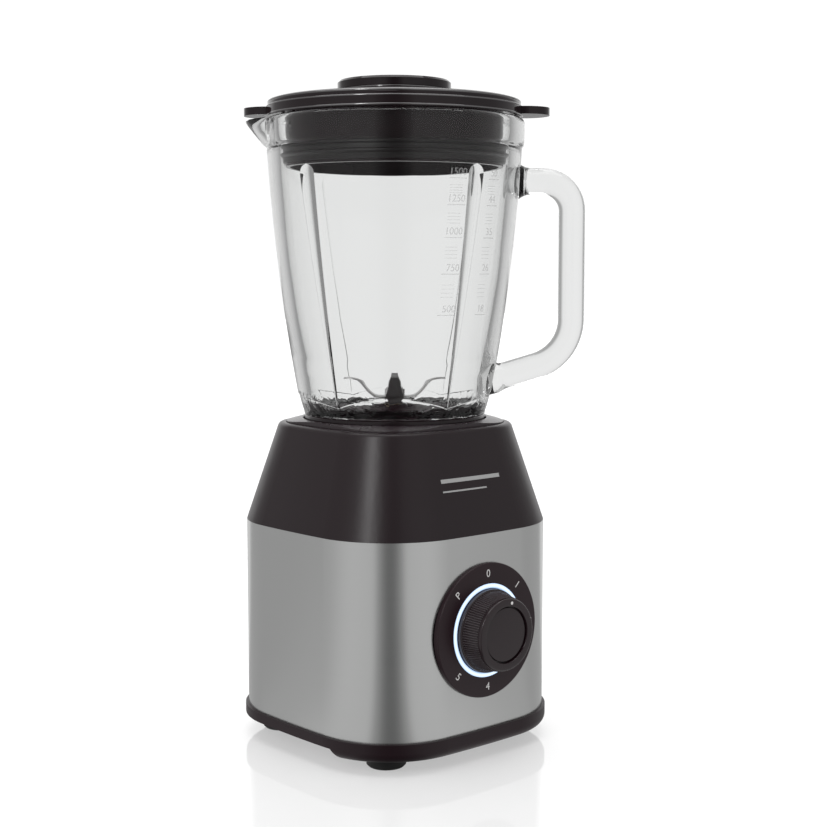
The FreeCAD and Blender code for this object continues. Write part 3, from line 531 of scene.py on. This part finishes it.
RIBS = 100
points = []
for radius, depth in grip:
    for side, rise in ((-0.5, -0.15), (-0.14, 0.55), (0.14, 0.55), (0.5, -0.15)):
        points.append((side * MM, depth * MM, (DIAL_Z + radius + rise) * MM))
last = 4 * (len(grip) - 1)
faces = ring_sides(len(grip), 4) + [(0, 1, 2, 3), (last, last + 1, last + 2, last + 3)]
# The grip ribs are the knob's own black plastic, coloured lighter than the shell as a painted highlight so
# they read as lit.
rib_black_painted_sheen = moulded("rib_black_painted_sheen", (0.055, 0.044, 0.048), 0.25, grain=2000, depth=0.002, shine=1.0)
rib = built("grip_rib", points, faces, rib_black_painted_sheen, crease=60)
ribs = repeated("knob_ribs", rib, rib_black_painted_sheen, RIBS, turn=(0, 2 * pi / RIBS, 0), pivot=(0, 0, DIAL_Z * MM))
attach(ribs, "knob")

gloss_black = moulded("gloss_black", (0.0115, 0.0065, 0.0080), 0.09, spread=0.02, grain=260, depth=0.0001,
                      shine=0.3)
disc = turned_front("knob_disc", [(0, -95.1), (DISC_R, -95.1), (DISC_R, DISC_FRONT + 0.6)]
                    + rounded((DISC_R, DISC_FRONT), (DISC_R, DISC_FRONT + 0.6), (DISC_R - 0.6, DISC_FRONT))
                    + [(0, DISC_FRONT)], knob_black)
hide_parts("knob_cap")
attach(disc, "knob")
dress(gloss_black, "jug_collar", "lid", "measuring_cap")
DOT_TURN, DOT_R, DOT_SIDES = radians(11), 18.4, 24
points = []
for depth, size in ((-97.9, 0.95), (-98.03, 0.95), (-98.09, 0.7)):
    for i in range(DOT_SIDES):
        x = DOT_R * sin(DOT_TURN) + size * cos(2 * pi * i / DOT_SIDES)
        z = DIAL_Z + DOT_R * cos(DOT_TURN) + size * sin(2 * pi * i / DOT_SIDES)
        points.append((x * MM, depth * MM, z * MM))
faces = ring_sides(3, DOT_SIDES) + [tuple(range(DOT_SIDES)), tuple(range(2 * DOT_SIDES, 3 * DOT_SIDES))]
dot = built("knob_dot", points, faces, white_print)
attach(dot, "knob")
dress(knob_black, "drive_coupling", "driven_coupling")


# Jug: pressed clear glass with a solid handle, a pouring lip opposite it, and four raised flutes that
# lean and widen from a point near the foot to a round arch. The lower edge of each panel is a scallop.
HANDLE_TURN = radians(-43)
FLUTES, FLUTE_LEAN = [radians(a) for a in (50, 130, 231, 310)], radians(6.5)
FLUTE_COLUMNS, PANEL_COLUMNS = 24, (60, 74, 60, 74)
ARCH_LOW, ARCH_TOP, FLUTE_LOW, FOOT_LOW, FOOT_R = 337.8, 343.3, 204.0, 198.5, 54.8
NECK_LOW, NECK_TOP, NECK_R, NECK_BORE = 184.6, 197.5, 46.0, 38.0
LIP_HALF, LIP_LOW, LIP_RISE, LIP_OUTSIDE, LIP_INSIDE = 21.0, 358.0, 16.0, 12.2, 13.4


def fitted(points):
    """Smooth radius over height through a few measured places."""
    heights, radii = [z for r, z in points], [r for r, z in points]
    curve = np.polyfit(np.array(heights) - 280.0, radii, 3)
    return lambda z: np.polyval(curve, np.asarray(z, float) - 280.0)


outside = fitted([(57.9, 205.0), (60.8, 223.4), (68.0, 267.0), (72.7, 310.0), (76.3, 352.0)])
inside = fitted([(48.5, 211.0), (53.0, 224.0), (60.3, 267.0), (65.2, 310.0), (68.8, 345.0), (69.4, 370.0)])


def arch_share(z):
    return np.clip((z - ARCH_LOW) / (ARCH_TOP - ARCH_LOW), 0, 1)


def flute_share(z):
    return np.clip((z - FLUTE_LOW) / (ARCH_LOW - FLUTE_LOW), 0, 1)


def flute_half(z):
    """Half width of a flute at a height."""
    half = 0.6 + 4.9 * flute_share(z)
    return np.maximum(half * np.sqrt(1 - arch_share(z) ** 2), 0.3)


columns = []
for flute, panels in enumerate(PANEL_COLUMNS):
    here = FLUTES[flute]
    there = FLUTES[(flute + 1) % 4] + (2 * pi if flute == 3 else 0)
    columns += [(here, there, s, np.nan) for s in np.linspace(-1, 1, FLUTE_COLUMNS, endpoint=False)]
    columns += [(here, there, 1.0, u) for u in np.linspace(0, 1, panels, endpoint=False)]
centre, next_centre, across, along = np.array(columns).T
on_panel = ~np.isnan(along)
share = np.where(on_panel, along, 0)
scallop = FLUTE_LOW + 6.0 * np.sin(pi * share) ** 0.8 * on_panel


def flute_rise(z):
    """How far a flute stands out of the wall; the pair on the dial's side stands prouder."""
    full = (1.0 + 1.3 * flute_share(z)) * np.clip((z - FLUTE_LOW) / 5, 0, 1) * (1 - arch_share(z) ** 2)
    return full * np.where(np.sin(centre) < 0, 0.9, 0.4)


def turns_at(z):
    """Direction of every column at a height; flute columns close in as the flute narrows."""
    half = flute_half(z) / outside(z)
    lean = FLUTE_LEAN * (1 - flute_share(z))
    here = centre + lean * np.sign(np.sin(2 * centre))
    there = next_centre + lean * np.sign(np.sin(2 * next_centre))
    return np.where(on_panel, here + half + share * (there - here - 2 * half), here + across * half)


def lip(turn, z, reach, start=LIP_LOW, rim_radius=74.0, blunt=3.0):
    """How far the pouring lip pushes the wall out: a blunt-nosed wedge that grows with height."""
    arc = rim_radius * ((turn + 2 * pi) % (2 * pi) - pi)
    nose = np.clip(1 - (np.sqrt(arc ** 2 + blunt ** 2) - blunt) / LIP_HALF, 0, 1)
    nose = 0.7 * nose + 0.3 * nose ** 2 * (3 - 2 * nose)
    return reach * nose * np.clip((z - start) / LIP_RISE, 0, 1)


def glass_outside(z):
    turn = turns_at(z)
    return outside(z) + flute_rise(z) * (1 - across ** 2) * ~on_panel, turn


rows = []
for radius, z in ((NECK_R, NECK_LOW), (NECK_R, NECK_TOP), (FOOT_R, NECK_TOP)):
    rows.append((radius + 0 * centre, turns_at(210.0), z + 0 * centre))
for v in (0.06, 0.3, 0.55, 0.8, 0.93, 1.0):
    radius, turn = glass_outside(scallop)
    bulge = (radius - 0.5 * (v < 1) - FOOT_R) * v ** 0.85
    rows.append((FOOT_R + bulge, turn, FOOT_LOW + v * (scallop - FOOT_LOW)))
heights = [205.5, 207.5, 210, 213, 216, 219, 223, 227] + list(np.arange(230.5, 332, 3.5))
heights += list(np.arange(333, 344.2, 0.55)) + [346, 349, 352]
for level in heights:
    z = level + (scallop - FLUTE_LOW) * np.clip(1 - (level - FLUTE_LOW) / 26.0, 0, 1)
    radius, turn = glass_outside(z)
    rows.append((radius, turn, z))
rim = [(76.45, 355.4), (76.65, 356.2), (77.3, 356.9), (77.6, 358.0), (77.8, 361.0), (77.95, 364.0),
       (78.05, 367.0), (78.1, 369.8), (77.9, 371.2), (77.2, 372.3), (76.0, 373.0), (74.6, 373.3),
       (72.4, 373.3), (71.0, 373.0), (70.0, 372.0), (69.5, 371.0), (69.4, 369.8)]
turn = turns_at(350.0)
for radius, z in rim:
    reach, start = LIP_OUTSIDE if radius > 73 else LIP_INSIDE, LIP_LOW - 1.5 if radius > 72 else LIP_LOW
    rows.append((radius + lip(turn, z, reach, start), turn, z + 0 * centre))
inner_heights = [*np.arange(367, 345, -1.6), *np.arange(344, 333, -1.1), *np.arange(331, 226, -3.5)]
for level in inner_heights:
    turn = turns_at(level)
    rows.append((inside(level) + lip(turn, level, LIP_INSIDE), turn, level + 0 * centre))
hollow = fitted([(50.2, 207.0), (50.9, 210.0), (51.9, 216.0), (53.4, 224.0), (54.3, 227.0)])
bottom = [(49.9, 206.4), (48.9, 204.0), (47.2, 202.2), (44.8, 201.1), (42.0, 200.5), (39.4, 200.0),
          (NECK_BORE, 198.6), (NECK_BORE, NECK_LOW)]
for radius, z in [(hollow(z), z) for z in (224, 221, 218, 215, 212, 209)] + bottom:
    rows.append((radius + 0 * centre, turns_at(212.0), z + 0 * centre))

radii, turns, levels = (np.array([row[i] for row in rows]) for i in range(3))
turns = turns + HANDLE_TURN
points = np.stack([radii * np.cos(turns), radii * np.sin(turns), levels], axis=-1)
faces = ring_sides(len(rows), len(centre), closed=True)

glass = plain_finish("clear_glass", (0.97, 0.975, 0.972), 0.0)
tree, shader = glass.node_tree, glass.node_tree.nodes["Principled BSDF"]
shader.inputs["Specular Tint"].default_value = (0.45, 0.45, 0.45, 1)
shader.inputs["Transmission Weight"].default_value = 1.0
shader.inputs["IOR"].default_value = 1.5
place, rays = add_node(tree, "ShaderNodeTexCoord"), add_node(tree, "ShaderNodeLightPath")
ripple = add_node(tree, "ShaderNodeTexNoise", {"Scale": 26.0, "Detail": 1.0})
ripple_bump = add_node(tree, "ShaderNodeBump", {"Distance": 0.35 * MM, "Strength": 0.6})
swirl = add_node(tree, "ShaderNodeTexNoise", {"Scale": 80.0, "Distortion": 1.2})
above = add_node(tree, "ShaderNodeSeparateXYZ")
near_foot = add_node(tree, "ShaderNodeMapRange",
                     {"From Min": FLUTE_LOW * MM, "From Max": 212.5 * MM, "To Min": 1.0, "To Max": 0.0})
swirl_bump = add_node(tree, "ShaderNodeBump", {"Distance": 1.4 * MM})
clear = add_node(tree, "ShaderNodeBsdfTransparent", {"Color": (0.93, 0.93, 0.93, 1)})
through = add_node(tree, "ShaderNodeMixShader")
wire(tree, (place.outputs["Object"], ripple.inputs["Vector"]),
     (ripple.outputs["Fac"], ripple_bump.inputs["Height"]),
     (place.outputs["Object"], swirl.inputs["Vector"]), (place.outputs["Object"], above.inputs["Vector"]),
     (above.outputs["Z"], near_foot.inputs["Value"]),
     (near_foot.outputs["Result"], swirl_bump.inputs["Strength"]),
     (swirl.outputs["Fac"], swirl_bump.inputs["Height"]),
     (ripple_bump.outputs["Normal"], swirl_bump.inputs["Normal"]),
     (swirl_bump.outputs["Normal"], shader.inputs["Normal"]),
     (rays.outputs["Is Shadow Ray"], through.inputs["Fac"]),
     (shader.outputs["BSDF"], through.inputs[1]), (clear.outputs["BSDF"], through.inputs[2]),
     (through.outputs["Shader"], tree.nodes["Material Output"].inputs["Surface"]))
wall = built("jug_wall", [tuple(p) for p in points.reshape(-1, 3) * MM], faces, glass, crease=32)

# The handle is a rod of the same glass, bent while hot, its ends flared where they meet the wall.
ROD, SIDES = 7.85, 40
TOP_Z, TOP_BEND, TOP_BEND_AT = 336.7, 17.85, (88.8, 318.85)
GRIP_R, LOW_BEND, LOW_BEND_AT = 106.65, 29.7, (76.95, 254.3)
SLOPE, LEAVE = radians(17), (85.63, 225.9)
path = [(r, TOP_Z, 0.0) for r in np.linspace(72.5, 88.0, 14)]
top_steps = len(path)
path += [(TOP_BEND_AT[0] + TOP_BEND * sin(a), TOP_BEND_AT[1] + TOP_BEND * cos(a), a)
         for a in np.linspace(0, pi / 2, 18)]
path += [(GRIP_R, z, pi / 2) for z in np.linspace(316, 256, 12)]
path += [(LOW_BEND_AT[0] + LOW_BEND * cos(a), LOW_BEND_AT[1] - LOW_BEND * sin(a), pi / 2 + a)
         for a in np.linspace(0, pi / 2 - SLOPE, 18)]
low_steps = len(path)
for t in np.linspace(1.5, 31.0, 20):
    way = pi - SLOPE + SLOPE * max(0.0, t - 18) / 13
    path.append((LEAVE[0] - t * cos(SLOPE), LEAVE[1] - t * sin(SLOPE), way))
points = []
for step, (r, z, way) in enumerate(path):
    flare = 0.0
    if step < top_steps:
        flare = 2.6 * max(0.0, 1 - (r - 75.0) / 7.0) ** 2
    elif step > low_steps:
        flare = 2.6 * max(0.0, 1 - (r - 60.5) / 7.0) ** 2
    size = ROD + min(flare, 2.6 if step < top_steps else 1.4)
    for i in range(SIDES):
        turn = 2 * pi * i / SIDES
        radial = r + size * cos(turn) * sin(way)
        side = size * sin(turn)
        x = radial * cos(HANDLE_TURN) - side * sin(HANDLE_TURN)
        y = radial * sin(HANDLE_TURN) + side * cos(HANDLE_TURN)
        points.append((x * MM, y * MM, (z + size * cos(turn) * cos(way)) * MM))
faces = ring_sides(len(path), SIDES)
faces += [tuple(range(SIDES)), tuple(range((len(path) - 1) * SIDES, len(path) * SIDES))]
rod = built("handle_rod", points, faces, glass)
join = wall.modifiers.new("join", "BOOLEAN")
join.operation, join.solver, join.object = "UNION", "MANIFOLD", rod
bpy.context.view_layer.update()
joined = bpy.data.meshes.new_from_object(wall.evaluated_get(bpy.context.evaluated_depsgraph_get()))
wall.modifiers.remove(join)
wall.data = joined
joined.shade_smooth()
joined.set_sharp_from_angle(angle=radians(32))
bpy.data.objects.remove(rod)
wall.name = "jug_body"
unlit = bpy.data.collections.new("not_lit_by_lamp_left")
lamp_left.light_linking.receiver_collection = unlit
for piece in (wall, cad["steel_wrap"]):
    unlit.objects.link(piece)
for link in unlit.collection_objects:
    link.light_linking.link_state = "EXCLUDE"
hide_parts("jug_glass")
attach(wall, "jug")


# Capacity scale: numbers and lines in low relief on the wall, millilitres to the left of the flute
# that faces forwards and ounces to its right, with finer lines between them.
# The raised marks are clear glass. Their pale grey, part-opaque colour is a painted sheen standing in for the
# light the relief catches.
relief = moulded("glass_relief_painted_sheen", (0.66, 0.66, 0.66), 0.25, grain=900, depth=0.01)
relief.node_tree.nodes["Principled BSDF"].inputs["Alpha"].default_value = 0.27
SCALE_TURN = radians(-93)
LEVELS = ((335.1, "1500", "50"), (320.3, "1250", "44"), (302.0, "1000", "35"), (281.5, "750", "26"),
          (258.2, "500", "18"))


def on_wall(right, z, proud):
    """A place on the wall; the left column leans with the flute, the right one hardly at all."""
    radius = float(outside(z)) + proud
    below = 1 - (z - FLUTE_LOW) / (ARCH_LOW - FLUTE_LOW)
    turn = SCALE_TURN + right / radius - FLUTE_LEAN * below * (0.95 if right < 0 else 0.1)
    return radius * cos(turn) * MM, radius * sin(turn) * MM, z * MM


def raised_line(left, right, z, width=0.45, steps=6):
    points = []
    for i in range(steps + 1):
        for up, proud in ((-width / 2, 0.02), (-width / 2, 0.22), (width / 2, 0.22), (width / 2, 0.02)):
            points.append(on_wall(left + (right - left) * i / steps, z + up, proud))
    return points, ring_sides(steps + 1, 4) + [(0, 1, 2, 3), tuple(4 * steps + k for k in range(4))]


points, faces = [], []
for z, left_text, right_text in LEVELS:
    half = float(flute_half(z))
    for text, align, edge, line in ((left_text, "RIGHT", -half - 1.4, (-half - 12.5, -half - 1.2)),
                                    (right_text, "LEFT", half + 6.2, (half + 4.6, half + 13.5))):
        letters, sides = lettering(text, 5.8, 0.2, align)
        placed = [on_wall(edge + x, z + 3.4 + up, 0.12 + proud) for x, up, proud in letters]
        take_in(points, faces, placed, sides)
        take_in(points, faces, *raised_line(*line, z))
marks = built("capacity_scale", points, faces, relief, crease=50)
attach(marks, "jug")
for step, name in enumerate("abcd"):
    low, high = LEVELS[-1 - step][0], LEVELS[-2 - step][0]
    half, gap = float(flute_half(low)), (high - low) / 5
    middle = low + 2.2 * gap
    points, faces = raised_line(-half - 12, -half - 4, middle, width=0.22)
    take_in(points, faces, *raised_line(half + 5, half + 11, middle, width=0.22))
    unit = built("fine_line", points, faces, relief)
    lean = (float(outside(high)) - float(outside(low))) / (high - low)
    fine = repeated("fine_lines_" + name, unit, relief, 4,
                    shift=Vector((0, -lean * gap * 0.5, gap * 0.5)) * MM)
    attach(fine, "jug")


# Blades: ground stainless strips, bent, clamped by a domed nut on the shaft. One pair rises
# and then runs out level, and the other stands up steeply.
blade_steel = drawn_metal("blade_steel", (0.62, 0.61, 0.61), 0.34, (500, 500, 60), depth=0.0006)
dress(blade_steel, "blade_nut")


def bent_blade(name, line, heading, thick=1.5):
    """A two-winged strip along (reach, height, width) places, with a round boss at its middle."""
    reach, height, width = (np.array([p[i] for p in line], float) for i in range(3))
    places = np.linspace(0, 1, 40)
    knots = np.linspace(0, 1, len(line))
    smooth = [np.interp(places, knots, v) for v in (reach, height, width)]
    for _ in range(3):
        for v in smooth:
            v[1:-1] = (v[:-2] + 2 * v[1:-1] + v[2:]) / 4
    points, faces = [], []
    for side in (0, pi):
        first = len(points)
        for r, z, w in zip(*smooth):
            for across, up in ((-0.5, 0), (-0.42, thick), (0.42, thick), (0.5, 0)):
                a = heading + side
                x, y = r * cos(a) - across * w * sin(a), r * sin(a) + across * w * cos(a)
                points.append((x * MM, y * MM, (z + up) * MM))
        faces += ring_sides(len(places), 4, first)
        last = first + 4 * (len(places) - 1)
        faces += [(first, first + 1, first + 2, first + 3), (last, last + 1, last + 2, last + 3)]
    hub = len(points)
    for radius, up in ((4.0, 0), (9.5, 0), (9.5, thick), (4.0, thick)):
        points += [(radius * cos(2 * pi * i / 48) * MM, radius * sin(2 * pi * i / 48) * MM,
                    (line[0][1] + up) * MM) for i in range(48)]
    return built(name, points, faces + ring_sides(4, 48, hub, closed=True), blade_steel)


upper = bent_blade("upper_blade_strip", [
    (4.1, 206.9, 14), (8, 206.9, 14), (12, 207.4, 13.5), (16, 211, 12), (20, 215.6, 10.5), (24, 217.8, 9),
    (28, 218.6, 7.5), (31, 218.2, 5)], radians(-40.9))
lower = bent_blade("lower_blade_strip", [
    (4.1, 205.0, 13), (9, 205.0, 13), (13, 205.4, 12.5), (16, 208.5, 11), (18, 213, 8.5), (20, 217.5, 6),
    (21.5, 220.8, 4.5)], radians(49.1))
for strip, node in ((upper, "upper_blade"), (lower, "lower_blade")):
    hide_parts(node)
    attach(strip, "blades")
dress(plate_black, "blade_seat")


# Lid and measuring cap: moulded in gloss black. Small rounded beads run round the lid's lower edge, its
# step and its upper edge, and round the foot of the cap; the soft gasket sits on the insert.
bead_black = moulded("bead_black", (0.0115, 0.0065, 0.0080), 0.12, spread=0.02, grain=260, depth=0.0001,
                     shine=1.0)
bead_black.node_tree.nodes["Principled BSDF"].inputs["IOR"].default_value = 1.8


def bead(name, radius, z, size, finish, steps=192, sides=12):
    """A thin rounded bead round the jug's axis, in millimetres."""
    points = [((radius + size * cos(2 * pi * k / sides)) * cos(2 * pi * i / steps) * MM,
               (radius + size * cos(2 * pi * k / sides)) * sin(2 * pi * i / steps) * MM,
               (z + size * sin(2 * pi * k / sides)) * MM) for i in range(steps) for k in range(sides)]
    return built(name, points, ring_sides(steps, sides, closed=True), finish)


BEADS = (("lid_lower_bead", 76.1, 374.9, 0.6, "lid"), ("lid_step_bead", 75.9, 380.0, 0.6, "lid"),
         ("lid_upper_bead", 75.0, 382.9, 0.7, "lid"), ("cap_bead", 33.3, 389.7, 0.7, "cap"))
for name, radius, z, size, body in BEADS:
    ring = bead(name, radius, z, size, bead_black)
    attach(ring, body)
